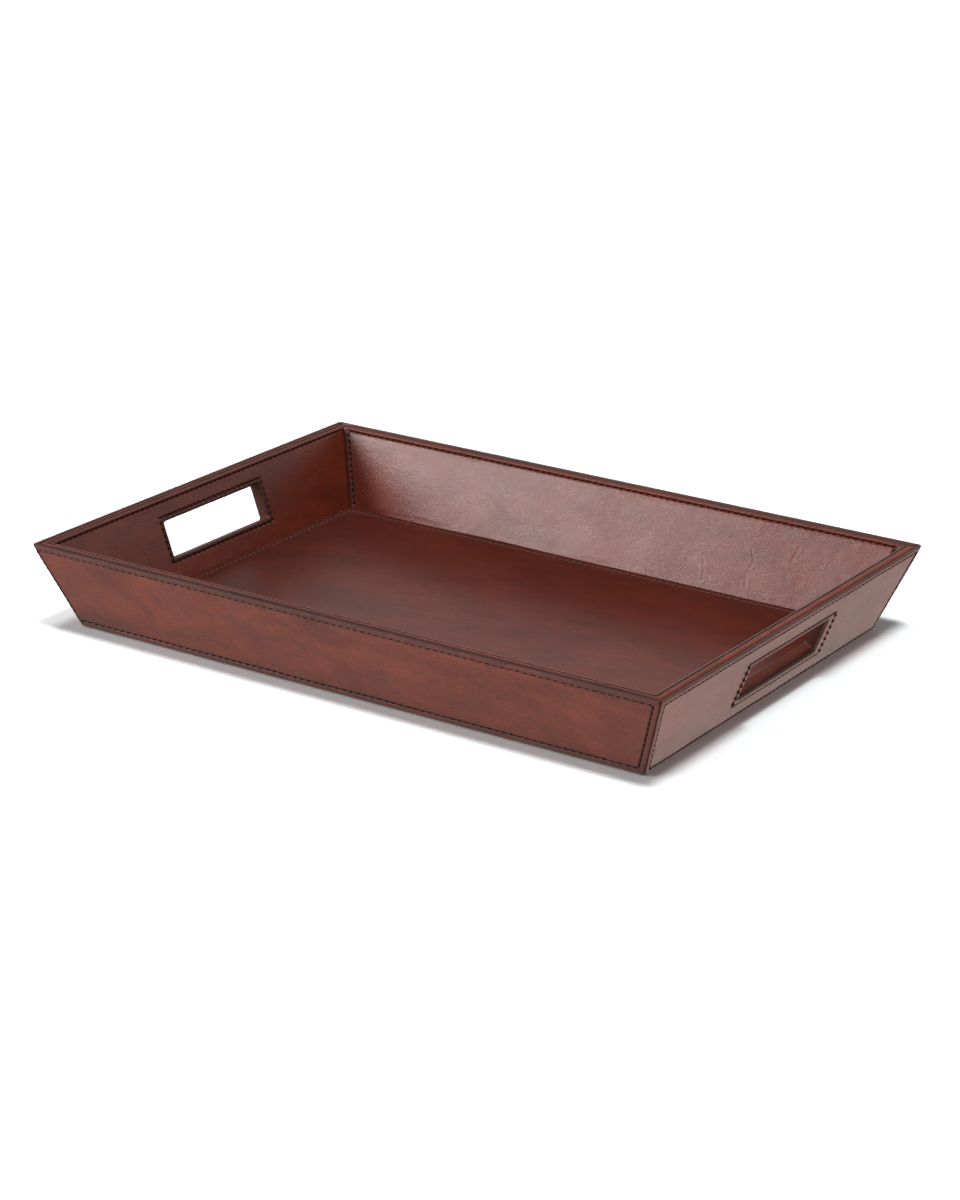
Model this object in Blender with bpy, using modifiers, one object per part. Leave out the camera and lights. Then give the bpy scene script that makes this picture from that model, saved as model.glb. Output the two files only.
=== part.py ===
# Leather serving tray: a shallow board tray with four flared walls, clad in stitched leather.
# Units are metres and +Z is up. The origin is at the middle of the underside.
# +X runs along the tray, with a hand hole in each end wall. The front wall is at -Y.

import math

import bmesh
import bpy

# Driving dimensions: the whole tray
RIM_LENGTH = 0.480
RIM_WIDTH = 0.349
TRAY_HEIGHT = 0.060
FLARE = math.radians(20.75)

# Layers through a wall, square to it, from outside to inside
OUTER_LEATHER = 0.0018
WALL_BOARD = 0.0055
INNER_LEATHER = 0.0012

# Layers through the floor, from below, and the strip on the rim
UNDERSIDE_COVER = 0.0009
BASE_BOARD = 0.0030
FLOOR_LEATHER = 0.0012
RIM_STRIP = 0.0014

# Joints between the pieces
GLUE_GAP = 0.0003
REBATE_DEPTH = 0.0025
FOOT_REVEAL = 0.0005
CUT_OVERRUN = 0.0020

# Edge rounding
LEATHER_ROUND = 0.0005
STRIP_ROUND = 0.0006
COVER_ROUND = 0.0002

# Hand holes: the clear opening, and where its middle lies up the outer slope
HOLE_LENGTH = 0.108
HOLE_HEIGHT = 0.0258
HOLE_CORNER = 0.0020
HOLE_LINING = 0.0012
hole_middle_share = 0.503

# Thread, and how far each row of stitches lies in from the edge beside it
THREAD_DIAMETER = 0.0008
THREAD_TURN = 0.0015
OUTER_RIM_ROW_INSET = 0.0045
OUTER_CORNER_ROW_INSET = 0.0045
OUTER_FOOT_ROW_INSET = 0.0038
INNER_RIM_ROW_INSET = 0.0025
INNER_CORNER_ROW_INSET = 0.0043
INNER_CORNER_ROW_END = 0.0030
FLOOR_ROW_INSET = 0.0048
HOLE_ROW_INSET = 0.0017
groove_depth_share = 0.6

# Mesh fineness
ROUND_SEGMENTS = 2
HOLE_CORNER_SEGMENTS = 4
TURN_STEPS = 3
THREAD_RESOLUTION = 2
WELD_DISTANCE = 0.00001
SMOOTH_ANGLE = math.radians(30)

# Sizes that follow
SIN_FLARE = math.sin(FLARE)
COS_FLARE = math.cos(FLARE)
TAN_FLARE = math.tan(FLARE)
WALL_THICKNESS = OUTER_LEATHER + GLUE_GAP + WALL_BOARD + GLUE_GAP + INNER_LEATHER
BOARD_OUTER_DEPTH = OUTER_LEATHER + GLUE_GAP
BOARD_INNER_DEPTH = BOARD_OUTER_DEPTH + WALL_BOARD
INNER_LEATHER_DEPTH = BOARD_INNER_DEPTH + GLUE_GAP
BOARD_FOOT = UNDERSIDE_COVER + GLUE_GAP
BASE_TOP = BOARD_FOOT + BASE_BOARD
FLOOR_FOOT = BASE_TOP + GLUE_GAP
FLOOR_TOP = FLOOR_FOOT + FLOOR_LEATHER
STRIP_FOOT = TRAY_HEIGHT - RIM_STRIP
BOARD_TOP = STRIP_FOOT - GLUE_GAP
FOOT_LENGTH = RIM_LENGTH - 2 * TRAY_HEIGHT * TAN_FLARE
FOOT_WIDTH = RIM_WIDTH - 2 * TRAY_HEIGHT * TAN_FLARE
MITRE_BACK = GLUE_GAP / math.sqrt(2)
GROOVE_RADIUS = THREAD_DIAMETER / 2 + GLUE_GAP

# Each wall: its name, its turn about +Z from the front, and its foot's length and reach
WALLS = (
    ("front", 0.0, FOOT_LENGTH / 2, FOOT_WIDTH / 2),
    ("right", math.pi / 2, FOOT_WIDTH / 2, FOOT_LENGTH / 2),
    ("rear", math.pi, FOOT_LENGTH / 2, FOOT_WIDTH / 2),
    ("left", -math.pi / 2, FOOT_WIDTH / 2, FOOT_LENGTH / 2),
)
END_WALLS = ("right", "left")

for leftover in list(bpy.data.objects):
    bpy.data.objects.remove(leftover, do_unlink=True)

tray = bpy.data.collections.new("leather_serving_tray")
guides = bpy.data.collections.new("cutters_and_frames")
bpy.context.scene.collection.children.link(tray)
bpy.context.scene.collection.children.link(guides)


# Materials
def make_material(name, colour, roughness):
    material = bpy.data.materials.new(name)
    material.use_nodes = True
    shader = material.node_tree.nodes["Principled BSDF"]
    shader.inputs["Base Color"].default_value = (*colour, 1.0)
    shader.inputs["Roughness"].default_value = roughness
    shader.inputs["Metallic"].default_value = 0.0
    material.diffuse_color = (*colour, 1.0)
    return material


panel_leather = make_material("chestnut_panel_leather", (0.19, 0.058, 0.040), 0.38)
floor_hide = make_material("floor_leather", (0.15, 0.038, 0.022), 0.34)
strip_leather = make_material("rim_strip_leather", (0.21, 0.062, 0.042), 0.42)
edge_leather = make_material("hole_lining_leather", (0.13, 0.042, 0.030), 0.50)
thread_yarn = make_material("waxed_brown_thread", (0.030, 0.012, 0.008), 0.65)
fibreboard = make_material("fibreboard", (0.42, 0.29, 0.17), 0.85)
cover_suede = make_material("underside_suede", (0.10, 0.055, 0.038), 0.95)


# Places on a wall. Its frame has X along the wall, Y up the slope and Z square out of it.
def slope_of(height, depth):
    """Distance up the slope of a point at this height and this depth into the wall."""
    return (height - depth * SIN_FLARE) / COS_FLARE


def run_of(foot_run, slope, depth):
    """Half the wall's length at this distance up the slope and this depth."""
    return foot_run + slope * SIN_FLARE - depth * COS_FLARE


def reach_of(foot_reach, height, depth):
    """Distance from the tray's middle to a wall's layer at this height."""
    return foot_reach + height * TAN_FLARE - depth / COS_FLARE


def end_inset(inset):
    """Inset along the wall that gives this inset square to a slanted end edge."""
    return inset * math.sqrt(1 + SIN_FLARE ** 2)


# Shapes
def put(shape, collection, name, parent, material=None):
    """Make an object of a mesh or curve, under a wall's frame or in the tray's own frame."""
    thing = bpy.data.objects.new(name, shape)
    collection.objects.link(thing)
    thing.parent = parent
    if material:
        shape.materials.append(material)
    return thing


def as_guide(thing):
    thing.hide_render = True
    thing.display_type = "WIRE"
    return thing


def cube_with_corners(name, corner_at):
    """A cube whose eight corners go where corner_at(x sign, y sign, z sign) says."""
    mesh = bpy.data.meshes.new(name)
    shape = bmesh.new()
    bmesh.ops.create_cube(shape, size=1.0)
    for corner in shape.verts:
        signs = [math.copysign(1.0, value) for value in corner.co]
        corner.co = corner_at(*signs)
    bmesh.ops.recalc_face_normals(shape, faces=shape.faces)
    shape.to_mesh(mesh)
    shape.free()
    return mesh


def wall_slab(name, foot_run, heights, depths):
    """A mitred layer of a wall between two heights and two depths, in the wall's frame."""
    def corner_at(along, up, out):
        height = heights[1] if up > 0 else heights[0]
        depth = depths[0] if out > 0 else depths[1]
        slope = slope_of(height, depth)
        return (along * (run_of(foot_run, slope, depth) - MITRE_BACK), slope, -depth)
    return cube_with_corners(name, corner_at)


def flat_plate(name, low_half, high_half, heights):
    """A level plate whose half sizes are given at its foot and at its top."""
    def corner_at(along, across, up):
        half = high_half if up > 0 else low_half
        height = heights[1] if up > 0 else heights[0]
        return (along * half[0], across * half[1], height)
    return cube_with_corners(name, corner_at)


def rounded_block(name, length, height, corner, middle, depths):
    """A block through a wall, square to it, with its four long edges rounded."""
    def corner_at(along, up, out):
        depth = depths[0] if out > 0 else depths[1]
        return (along * length / 2, middle + up * height / 2, -depth)
    mesh = cube_with_corners(name, corner_at)
    shape = bmesh.new()
    shape.from_mesh(mesh)
    edges = [edge for edge in shape.edges
             if abs(edge.verts[0].co.z - edge.verts[1].co.z) > WELD_DISTANCE]
    bmesh.ops.bevel(shape, geom=edges, offset=corner, offset_type="OFFSET",
                    segments=HOLE_CORNER_SEGMENTS, profile=0.5, affect="EDGES")
    shape.to_mesh(mesh)
    shape.free()
    return mesh


def turned_outline(corners, radius, closed=True):
    """Points along an outline whose corners are replaced by arcs, but not an open one's ends."""
    points = []
    count = len(corners)
    for index, (x, y) in enumerate(corners):
        if not closed and index in (0, count - 1):
            points.append((x, y))
            continue
        before = corners[index - 1]
        after = corners[(index + 1) % count]
        back = math.atan2(before[1] - y, before[0] - x)
        ahead = math.atan2(after[1] - y, after[0] - x)
        opening = (ahead - back) % math.tau
        if opening > math.pi:
            opening -= math.tau
        middle = back + opening / 2
        distance = radius / math.sin(abs(opening) / 2)
        centre = (x + distance * math.cos(middle), y + distance * math.sin(middle))
        sweep = math.pi - abs(opening)
        turn = -math.copysign(1.0, opening)
        start = middle + math.pi - turn * sweep / 2
        for step in range(TURN_STEPS + 1):
            angle = start + turn * sweep * step / TURN_STEPS
            points.append((centre[0] + radius * math.cos(angle),
                           centre[1] + radius * math.sin(angle)))
    return points


def seam_curve(name, points, level, radius, closed):
    """A round cord through flat points at one level."""
    curve = bpy.data.curves.new(name, "CURVE")
    curve.dimensions = "3D"
    curve.bevel_depth = radius
    curve.bevel_resolution = THREAD_RESOLUTION
    curve.use_fill_caps = not closed
    line = curve.splines.new("POLY")
    line.points.add(len(points) - 1)
    for point, (x, y) in zip(line.points, points):
        point.co = (x, y, level, 1.0)
    line.use_cyclic_u = closed
    return curve


def curve_to_mesh(curve, name):
    """The evaluated curve as a closed mesh, for use as a cutter."""
    carrier = bpy.data.objects.new(name, curve)
    guides.objects.link(carrier)
    bpy.context.view_layer.update()
    evaluated = carrier.evaluated_get(bpy.context.evaluated_depsgraph_get())
    mesh = bpy.data.meshes.new_from_object(evaluated)
    bpy.data.objects.remove(carrier, do_unlink=True)
    shape = bmesh.new()
    shape.from_mesh(mesh)
    bmesh.ops.remove_doubles(shape, verts=shape.verts, dist=WELD_DISTANCE)
    bmesh.ops.recalc_face_normals(shape, faces=shape.faces)
    shape.to_mesh(mesh)
    shape.free()
    return mesh


def round_edges(thing, width):
    modifier = thing.modifiers.new("round_edges", "BEVEL")
    modifier.width = width
    modifier.segments = ROUND_SEGMENTS
    modifier.limit_method = "ANGLE"


def cut(thing, cutter):
    modifier = thing.modifiers.new("cut_" + cutter.name, "BOOLEAN")
    modifier.operation = "DIFFERENCE"
    modifier.solver = "EXACT"
    modifier.object = cutter


def sew(panel, name, points, surface, leather, parent, closed=True):
    """Press a groove into a panel's face and lay the thread in it.

    surface is the level of that face and the sign of the way out of the leather.
    """
    level, outward = surface
    groove_level = level - outward * (leather * groove_depth_share - GROOVE_RADIUS)
    groove_line = seam_curve(name + "_groove", points, groove_level, GROOVE_RADIUS, closed)
    groove = put(curve_to_mesh(groove_line, name + "_groove"), guides, name + "_groove", parent)
    cut(panel, as_guide(groove))
    cord = seam_curve(name, points, groove_level, THREAD_DIAMETER / 2, closed)
    return put(cord, tray, name, parent, thread_yarn)


# Frames of the four walls
frames = {}
for wall, turn, foot_run, foot_reach in WALLS:
    frame = bpy.data.objects.new(wall + "_wall_frame", None)
    frame.empty_display_size = TRAY_HEIGHT
    frame.location = (foot_reach * math.sin(turn), -foot_reach * math.cos(turn), 0.0)
    frame.rotation_euler = (math.pi / 2 + FLARE, 0.0, turn)
    guides.objects.link(frame)
    frames[wall] = frame


# Carcass: a base board in a rebate that runs round the foot of four mitred wall boards
base_half = (
    reach_of(FOOT_LENGTH / 2, BASE_TOP, BOARD_INNER_DEPTH) + REBATE_DEPTH,
    reach_of(FOOT_WIDTH / 2, BASE_TOP, BOARD_INNER_DEPTH) + REBATE_DEPTH,
)
put(flat_plate("base_board", base_half, base_half, (BOARD_FOOT, BASE_TOP)),
    tray, "base_board", None, fibreboard)

rebate_half = (base_half[0] + GLUE_GAP, base_half[1] + GLUE_GAP)
rebate_heights = (BOARD_FOOT - CUT_OVERRUN, FLOOR_FOOT)
rebate_cutter = as_guide(put(
    flat_plate("base_rebate", rebate_half, rebate_half, rebate_heights),
    guides, "base_rebate", None))

wall_boards = {}
for wall, turn, foot_run, foot_reach in WALLS:
    name = wall + "_wall_board"
    slab = wall_slab(name, foot_run, (BOARD_FOOT, BOARD_TOP), (BOARD_OUTER_DEPTH, BOARD_INNER_DEPTH))
    wall_boards[wall] = put(slab, tray, name, frames[wall], fibreboard)
    cut(wall_boards[wall], rebate_cutter)


# Leather panels outside and inside, and the mitred strips that close the rim
outer_panels = {}
inner_panels = {}
for wall, turn, foot_run, foot_reach in WALLS:
    name = wall + "_outer_leather"
    slab = wall_slab(name, foot_run, (FOOT_REVEAL, TRAY_HEIGHT), (0.0, OUTER_LEATHER))
    outer_panels[wall] = put(slab, tray, name, frames[wall], panel_leather)
    round_edges(outer_panels[wall], LEATHER_ROUND)

    name = wall + "_inner_leather"
    slab = wall_slab(name, foot_run, (FLOOR_FOOT, TRAY_HEIGHT), (INNER_LEATHER_DEPTH, WALL_THICKNESS))
    inner_panels[wall] = put(slab, tray, name, frames[wall], panel_leather)
    round_edges(inner_panels[wall], LEATHER_ROUND)

    name = wall + "_rim_strip"
    slab = wall_slab(name, foot_run, (STRIP_FOOT, TRAY_HEIGHT), (BOARD_OUTER_DEPTH, BOARD_INNER_DEPTH))
    strip = put(slab, tray, name, frames[wall], strip_leather)
    round_edges(strip, STRIP_ROUND)


# Floor leather, fitted between the feet of the inner panels
floor_half = [
    [reach_of(foot, height, WALL_THICKNESS) - GLUE_GAP for foot in (FOOT_LENGTH / 2, FOOT_WIDTH / 2)]
    for height in (FLOOR_FOOT, FLOOR_TOP)
]
floor_panel = put(
    flat_plate("floor_leather", floor_half[0], floor_half[1], (FLOOR_FOOT, FLOOR_TOP)),
    tray, "floor_leather", None, floor_hide)
round_edges(floor_panel, LEATHER_ROUND)


# Underside cover, between the lower edges of the outer panels
cover_half = [
    reach_of(foot, FOOT_REVEAL, OUTER_LEATHER) - GLUE_GAP
    for foot in (FOOT_LENGTH / 2, FOOT_WIDTH / 2)
]
cover = put(
    flat_plate("underside_cover", cover_half, cover_half, (0.0, UNDERSIDE_COVER)),
    tray, "underside_cover", None, cover_suede)
round_edges(cover, COVER_ROUND)


# Hand holes: a lined slot through each end wall, square to it
hole_middle = slope_of(TRAY_HEIGHT, 0.0) * hole_middle_share
lining_length = HOLE_LENGTH + 2 * HOLE_LINING
lining_height = HOLE_HEIGHT + 2 * HOLE_LINING
lining_corner = HOLE_CORNER + HOLE_LINING
slot_length = lining_length + 2 * GLUE_GAP
slot_height = lining_height + 2 * GLUE_GAP
slot_corner = lining_corner + GLUE_GAP
cut_depths = (-CUT_OVERRUN, WALL_THICKNESS + CUT_OVERRUN)
for wall in END_WALLS:
    slot = as_guide(put(
        rounded_block(wall + "_slot", slot_length, slot_height, slot_corner, hole_middle, cut_depths),
        guides, wall + "_slot", frames[wall]))
    for layer in (outer_panels[wall], wall_boards[wall], inner_panels[wall]):
        cut(layer, slot)

    opening = as_guide(put(
        rounded_block(wall + "_opening", HOLE_LENGTH, HOLE_HEIGHT, HOLE_CORNER, hole_middle, cut_depths),
        guides, wall + "_opening", frames[wall]))
    name = wall + "_hole_lining"
    sleeve = rounded_block(name, lining_length, lining_height, lining_corner, hole_middle,
                           (0.0, WALL_THICKNESS))
    lining = put(sleeve, tray, name, frames[wall], edge_leather)
    cut(lining, opening)


# Stitching: rows near the panels' edges
def panel_outline(foot_run, depth, slopes, corner_inset):
    """Corners of a row of stitches round a panel, anticlockwise from the lower right."""
    low, high = slopes
    low_run = run_of(foot_run, low, depth) - end_inset(corner_inset)
    high_run = run_of(foot_run, high, depth) - end_inset(corner_inset)
    return [(low_run, low), (high_run, high), (-high_run, high), (-low_run, low)]


outer_surface = (0.0, 1.0)
inner_surface = (-WALL_THICKNESS, -1.0)
outer_rows = (slope_of(FOOT_REVEAL, 0.0) + OUTER_FOOT_ROW_INSET,
              slope_of(TRAY_HEIGHT, 0.0) - OUTER_RIM_ROW_INSET)
inner_rows = (slope_of(FLOOR_TOP, WALL_THICKNESS) + INNER_CORNER_ROW_END,
              slope_of(TRAY_HEIGHT, WALL_THICKNESS) - INNER_RIM_ROW_INSET)
for wall, turn, foot_run, foot_reach in WALLS:
    corners = panel_outline(foot_run, 0.0, outer_rows, OUTER_CORNER_ROW_INSET)
    sew(outer_panels[wall], wall + "_outer_thread", turned_outline(corners, THREAD_TURN),
        outer_surface, OUTER_LEATHER, frames[wall])

    # Inside, the long walls are sewn along the rim and down both corners, the ends along the rim
    corners = panel_outline(foot_run, WALL_THICKNESS, inner_rows, INNER_CORNER_ROW_INSET)
    if wall in END_WALLS:
        row_name = wall + "_inner_rim_thread"
        row = [corners[2], corners[1]]
    else:
        row_name = wall + "_inner_thread"
        row = turned_outline(corners, THREAD_TURN, closed=False)
    sew(inner_panels[wall], row_name, row, inner_surface, INNER_LEATHER, frames[wall], closed=False)

hole_row_run = slot_length / 2 + HOLE_ROW_INSET
hole_row_rise = slot_height / 2 + HOLE_ROW_INSET
hole_corners = [(along * hole_row_run, hole_middle + up * hole_row_rise)
                for along, up in ((1, -1), (1, 1), (-1, 1), (-1, -1))]
hole_row = turned_outline(hole_corners, THREAD_TURN)
for wall in END_WALLS:
    sew(outer_panels[wall], wall + "_hole_outer_thread", hole_row,
        outer_surface, OUTER_LEATHER, frames[wall])
    sew(inner_panels[wall], wall + "_hole_inner_thread", hole_row,
        inner_surface, INNER_LEATHER, frames[wall])

floor_row_run = floor_half[1][0] - FLOOR_ROW_INSET
floor_row_reach = floor_half[1][1] - FLOOR_ROW_INSET
floor_corners = [(along * floor_row_run, across * floor_row_reach)
                 for along, across in ((1, -1), (1, 1), (-1, 1), (-1, -1))]
sew(floor_panel, "floor_thread", turned_outline(floor_corners, THREAD_TURN),
    (FLOOR_TOP, 1.0), FLOOR_LEATHER, None)


# Shading
for piece in tray.objects:
    if piece.type == "MESH":
        piece.data.shade_smooth()
        piece.data.set_sharp_from_angle(angle=SMOOTH_ANGLE)
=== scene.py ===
import math

import bmesh
import bpy
import numpy as np
from mathutils import Matrix, Vector


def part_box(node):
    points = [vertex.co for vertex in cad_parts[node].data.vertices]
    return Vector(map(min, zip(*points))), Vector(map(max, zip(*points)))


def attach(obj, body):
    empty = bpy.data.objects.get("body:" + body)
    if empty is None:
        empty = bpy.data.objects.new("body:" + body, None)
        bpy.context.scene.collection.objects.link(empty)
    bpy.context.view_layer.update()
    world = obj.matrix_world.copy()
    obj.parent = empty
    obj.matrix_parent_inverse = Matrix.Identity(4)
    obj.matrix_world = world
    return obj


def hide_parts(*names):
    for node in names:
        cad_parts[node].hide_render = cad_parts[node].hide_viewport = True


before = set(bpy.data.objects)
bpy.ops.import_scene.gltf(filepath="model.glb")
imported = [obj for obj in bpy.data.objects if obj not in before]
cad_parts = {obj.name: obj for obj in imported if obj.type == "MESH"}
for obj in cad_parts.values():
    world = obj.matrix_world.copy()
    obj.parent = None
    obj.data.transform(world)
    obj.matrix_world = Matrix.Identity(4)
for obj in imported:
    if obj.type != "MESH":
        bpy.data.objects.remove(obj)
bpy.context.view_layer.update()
print("frame loaded")

# the tray's own sizes, in metres, as the carcass is built
tray = dict(
    rimLength=0.48,
    rimWidth=0.349,
    height=0.06,
    flare=math.radians(20.75),
    outerLeather=0.0018,
    board=0.0055,
    innerLeather=0.0012,
    gap=0.0003,
    footReveal=0.0005,
)
sinFlare = math.sin(tray["flare"])
cosFlare = math.cos(tray["flare"])
tanFlare = math.tan(tray["flare"])
floorFoot, floorTop = (corner.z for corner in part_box("floor_leather"))
boardOuter = tray["outerLeather"] + tray["gap"]
boardInner = boardOuter + tray["board"]
wallDepth = boardInner + tray["gap"] + tray["innerLeather"]
footLength = tray["rimLength"] / 2 - tray["height"] * tanFlare
footWidth = tray["rimWidth"] / 2 - tray["height"] * tanFlare
cornerGap = 0.00004  # closer than the carcass: soft leather presses together
endFactor = math.sqrt(1 + sinFlare ** 2)

# each wall: turn about +Z from the front, half the foot's length, reach of the foot from the middle
walls = {
    "front": (0.0, footLength, footWidth),
    "right": (math.pi / 2, footWidth, footLength),
    "rear": (math.pi, footLength, footWidth),
    "left": (-math.pi / 2, footWidth, footLength),
}
endWalls = ("left", "right")
faceDepth = {"outer": 0.0, "inner": wallDepth}
faceFoot = {"outer": tray["footReveal"], "inner": floorFoot}
wayOut = {"outer": 1.0, "inner": -1.0}

# rows of stitches: how far each lies in from its edge, and the length from hole to hole
rows = dict(
    outerRim=0.004, outerFoot=0.0048,
    endFoot=0.0034,
    outerCorner=0.0045,
    wrappedCorner=0.0016,  # where the left end's leather is wrapped round to the front
    innerRim=0.0023, innerCorner=0.0043, innerCornerEnd=0.003,
    floor=0.0048,
    pitch=0.0054,
    shortPitch=0.0046,
)

# hand hole: the clear opening's place and half sizes, and the row of stitches round it
openings = {
    "plain": dict(shift=0.0, middle=0.03227, halfLength=0.054, halfHeight=0.0129, corner=0.002),
    "right": dict(shift=0.001, middle=0.0317, halfLength=0.0515, halfHeight=0.013, corner=0.0014),
}
holeRows = {
    "plain": dict(shift=0.0, middle=0.03227, halfLength=0.0572, halfHeight=0.0161, corner=0.0012),
    "right": dict(shift=0.003, middle=0.0312, halfLength=0.0578, halfHeight=0.0166, corner=0.0012),
}

# that row's stitches, lengthwise and across: weight, slant and share of their pitch
holeStitches = {
    "plain": ((1.25, 26.0, 0.74), (1.3, 26.0, 0.76)),
    "right": ((1.0, 10.0, 0.66), (2.3, 28.0, 0.84)),
}

# how leather is drawn in along a row, and how its border swells between the row and the edge
press = dict(
    dip=0.00052, dipWidth=0.00058,
    lip=0.00012, lipAt=0.0014, lipWidth=0.0006,
    pucker=0.00032, puckerWidth=0.0013,
    seamWidth=0.00068,
    roll={"long": 0.00045, "end": 0.00024, "inner": 0.00026},
    # bandShade: painted shade on the border band between the row and the edge
    bandShade=0.22,
)


def slopeOf(height, depth):
    return (height - depth * sinFlare) / cosFlare


def runOf(wall, slope, depth):
    return walls[wall][1] + slope * sinFlare - depth * cosFlare


def boxCorners(a, b):
    return [(-a, -b), (a, -b), (a, b), (-a, b)]


def wallMatrix(wall):
    turn, footReach = walls[wall][::2]
    place = Matrix.Translation(Vector((0.0, -footReach, 0.0)))
    lean = Matrix.Rotation(math.pi / 2 + tray["flare"], 4, "X")
    return Matrix.Rotation(turn, 4, "Z") @ place @ lean


# node trees
class Tree:
    def __init__(self, nodeTree):
        self.tree = nodeTree

    def add(self, kind, inputs=None, **values):
        node = self.tree.nodes.new(kind)
        for name, value in values.items():
            setattr(node, name, value)
        for key, value in (inputs or {}).items():
            if value is not None:
                self.feed(node.inputs[key], value)
        return node

    def feed(self, socket, value):
        if isinstance(value, bpy.types.NodeSocket):
            self.tree.links.new(value, socket)
        else:
            socket.default_value = value

    def out(self, kind, inputs=None, **values):
        return self.add(kind, inputs, **values).outputs[0]

    def shape(self, kind, inputs=None, **values):
        return self.out("GeometryNode" + kind, inputs, **values)

    def math(self, operation, a, b=0.0):
        return self.out("ShaderNodeMath", {0: a, 1: b}, operation=operation)

    def times(self, a, b):
        return self.math("MULTIPLY", a, b)

    def plus(self, a, b):
        return self.math("ADD", a, b)

    def noise(self, scale, detail=3.0, rough=0.5, twist=0.0, stretch=(1.0, 1.0, 1.0)):
        place = self.add("ShaderNodeTexCoord").outputs["Object"]
        place = self.out("ShaderNodeMapping", {"Vector": place, "Scale": stretch})
        return self.add("ShaderNodeTexNoise", {
            "Vector": place, "Scale": scale, "Detail": detail,
            "Roughness": rough, "Distortion": twist}).outputs["Fac"]

    def spread(self, value, low, high, toLow=0.0, toHigh=1.0):
        return self.out("ShaderNodeMapRange", {0: value, 1: low, 2: high, 3: toLow, 4: toHigh}, clamp=True)

    def blend(self, share, a, b):
        node = self.add("ShaderNodeMix", data_type="RGBA")
        for index, value in ((0, share), (6, a), (7, b)):
            self.feed(node.inputs[index], (*value, 1.0) if isinstance(value, tuple) else value)
        return node.outputs[2]

    def bump(self, height, strength, distance, below=None):
        return self.out("ShaderNodeBump", {
            "Height": height, "Strength": strength, "Distance": distance, "Normal": below})

    def attribute(self, name):
        return self.add("ShaderNodeAttribute", attribute_name=name).outputs["Fac"]


def newMaterial(name, values=None):
    # the values are the same all over the surface
    material = bpy.data.materials.new(name)
    material.use_nodes = True
    material.node_tree.nodes.clear()
    tree = Tree(material.node_tree)
    shader = tree.add("ShaderNodeBsdfPrincipled", values)
    tree.add("ShaderNodeOutputMaterial", {"Surface": shader.outputs["BSDF"]})
    return material, tree, shader.inputs


# where each pattern of the leather begins and ends in its noise
ramps = dict(
    cloud=(0.34, 0.66),
    blotch=(0.52, 0.72),
    brush=(0.5, 0.72),
    fleck=(0.45, 0.75),
    pits=(0.3, 0.52),
    even=(0.3, 0.7),
)


def leatherMaterial(name, base, **changes):
    # "edge" on the mesh says where its burnishing and its painted shade are; "seam" and "raw" say where it
    # is sewn or cut
    look = dict(base, **changes)
    material, tree, sockets = newMaterial(name, {"Specular IOR Level": look["specular"]})
    cloud = tree.noise(look["cloud"], 4.0, 0.55, 0.8, look["stretch"])
    blotch = tree.noise(look["blotch"], 4.0, 0.55, 0.6, look["stretch"])
    brush = tree.noise(look["brush"], 3.0, 0.6, 0.3, look["brushStretch"])
    fleck = tree.noise(look["fleck"], 3.0, 0.65)
    grain = tree.noise(look["grain"], 3.0, 0.6, 0.4)
    colour = tree.blend(tree.spread(cloud, *ramps["cloud"]), look["dark"], look["light"])
    for noise, ramp, share, tint in (
            (blotch, "blotch", (0.0, look["smokeShare"]), "smoke"),
            (brush, "brush", (0.0, look["brushShare"]), "dark"),
            (fleck, "fleck", (0.0, look["fleckShare"]), "warm"),
            (grain, "pits", (look["pitShare"], 0.0), "burnished")):
        colour = tree.blend(tree.spread(noise, *ramps[ramp], *share), colour, look[tint])
    # darker where "edge" is high: burnishing, and painted shade in corners, along walls and on the rim
    # strips
    wornAndShaded = tree.times(tree.attribute("edge"), tree.spread(blotch, *ramps["even"], look["darkeningLeast"], 1.0))
    sewn = tree.times(tree.attribute("seam"), look["sewnShare"])
    colour = tree.blend(wornAndShaded, colour, look["burnished"])
    colour = tree.blend(sewn, colour, look["sewn"])
    colour = tree.blend(tree.attribute("raw"), colour, look["rawEdge"])
    tree.feed(sockets["Base Color"], colour)
    dull = tree.spread(blotch, *ramps["even"], look["gloss"] - 0.02, look["gloss"] + 0.03)
    dull = tree.plus(dull, tree.times(wornAndShaded, look["wornDull"]))
    dull = tree.plus(dull, tree.times(sewn, look["sewnDull"]))
    tree.feed(sockets["Roughness"], tree.math("MINIMUM", dull, look["dullest"]))
    normal = tree.bump(tree.noise(look["soft"], 3.0, 0.5, 0.6), 0.4, look["softHeight"])
    tree.feed(sockets["Normal"], tree.bump(grain, 0.5, look["grainHeight"], normal))
    return material


chestnut = dict(
    dark=(0.13, 0.0205, 0.0088),
    light=(0.25, 0.0415, 0.0165),
    warm=(0.3, 0.052, 0.019),
    smoke=(0.1, 0.025, 0.0165), smokeShare=0.75,
    burnished=(0.026, 0.0085, 0.006),
    sewn=(0.01, 0.0045, 0.0035), sewnShare=0.6,
    brushShare=0.3,
    fleckShare=0.3,
    darkeningLeast=0.75, wornDull=0.38,
    sewnDull=0.45,
    dullest=0.9,
    rawEdge=(0.02, 0.0085, 0.006),
    stretch=(0.5, 1.0, 1.0),
    brushStretch=(0.15, 1.0, 1.0),
    cloud=30.0,
    blotch=88.0,
    brush=260.0,
    fleck=520.0,
    grain=640.0, grainHeight=0.00034,
    pitShare=0.3,
    soft=120.0, softHeight=0.00022,
    gloss=0.34,
    specular=0.5,
)
endLook = dict(chestnut, stretch=(1.0, 0.5, 1.0), brushStretch=(1.0, 0.15, 1.0), smokeShare=0.4, gloss=0.29)
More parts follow.
